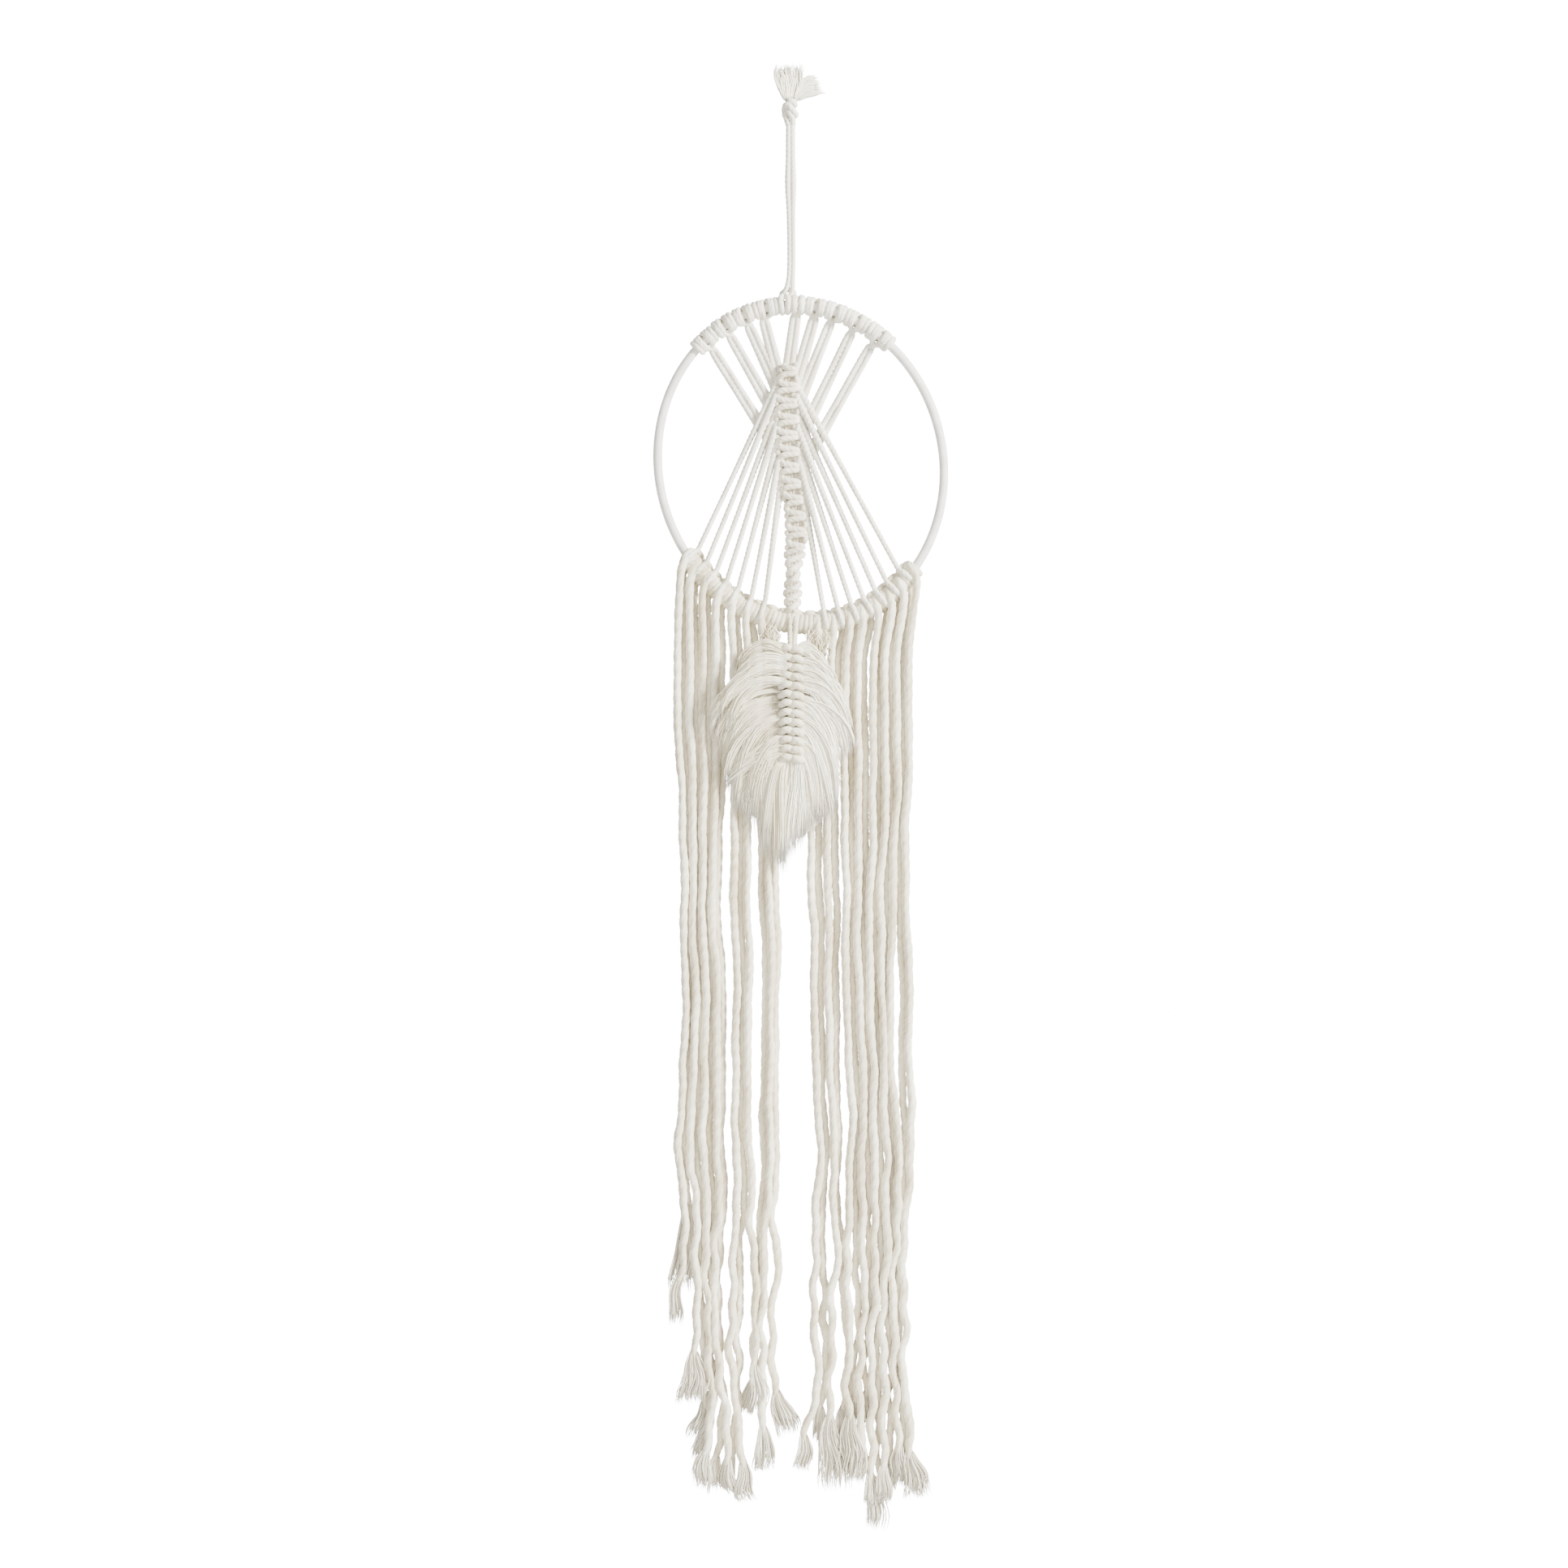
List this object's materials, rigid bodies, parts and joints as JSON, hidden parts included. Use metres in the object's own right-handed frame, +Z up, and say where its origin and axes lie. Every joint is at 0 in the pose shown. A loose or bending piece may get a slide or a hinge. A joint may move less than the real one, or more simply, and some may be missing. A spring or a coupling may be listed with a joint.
{
  "type": "dreamcatcher with hoop",
  "caption": "White cotton dreamcatcher with its hoop: a slim oval ring laced with a knotted web, a brushed leaf and a long fringe, hung by a short doubled cord.",
  "frame": {"origin": "the hanging point, in the eye of the hanger's loop just under its top knot", "axes": "+Z up along the hanging direction, +X to the right as the front is seen, the front looks along -Y"},
  "size_m": [0.1818, 0.0216, 0.9025],
  "materials": {
    "cotton_cord": "matt twisted cotton, off-white",
    "hoop_paint": "smooth off-white paint, low sheen"
  },
  "bodies": {
    "root": {"fan_left_1": "cotton_cord", "fan_left_2": "cotton_cord", "fan_left_3": "cotton_cord", "fan_left_4": "cotton_cord", "fan_left_5": "cotton_cord", "fan_left_6": "cotton_cord", "fan_left_7": "cotton_cord", "fan_right_1": "cotton_cord", "fan_right_2": "cotton_cord", "fan_right_3": "cotton_cord", "fan_right_4": "cotton_cord", "fan_right_5": "cotton_cord", "fan_right_6": "cotton_cord", "fan_right_7": "cotton_cord", "fringe": "cotton_cord", "hanger_knot": "cotton_cord", "hanger_loop": "cotton_cord", "hanger_tail_side": "cotton_cord", "hanger_tail_up": "cotton_cord", "hoop": "hoop_paint", "leaf": "cotton_cord", "leaf_rib": "cotton_cord", "spine": "cotton_cord", "web_centre": "cotton_cord", "web_left_1": "cotton_cord", "web_left_2": "cotton_cord", "web_left_3": "cotton_cord", "web_left_4": "cotton_cord", "web_right_1": "cotton_cord", "web_right_2": "cotton_cord", "web_right_3": "cotton_cord", "web_right_4": "cotton_cord"}
  },
  "joints": []
}
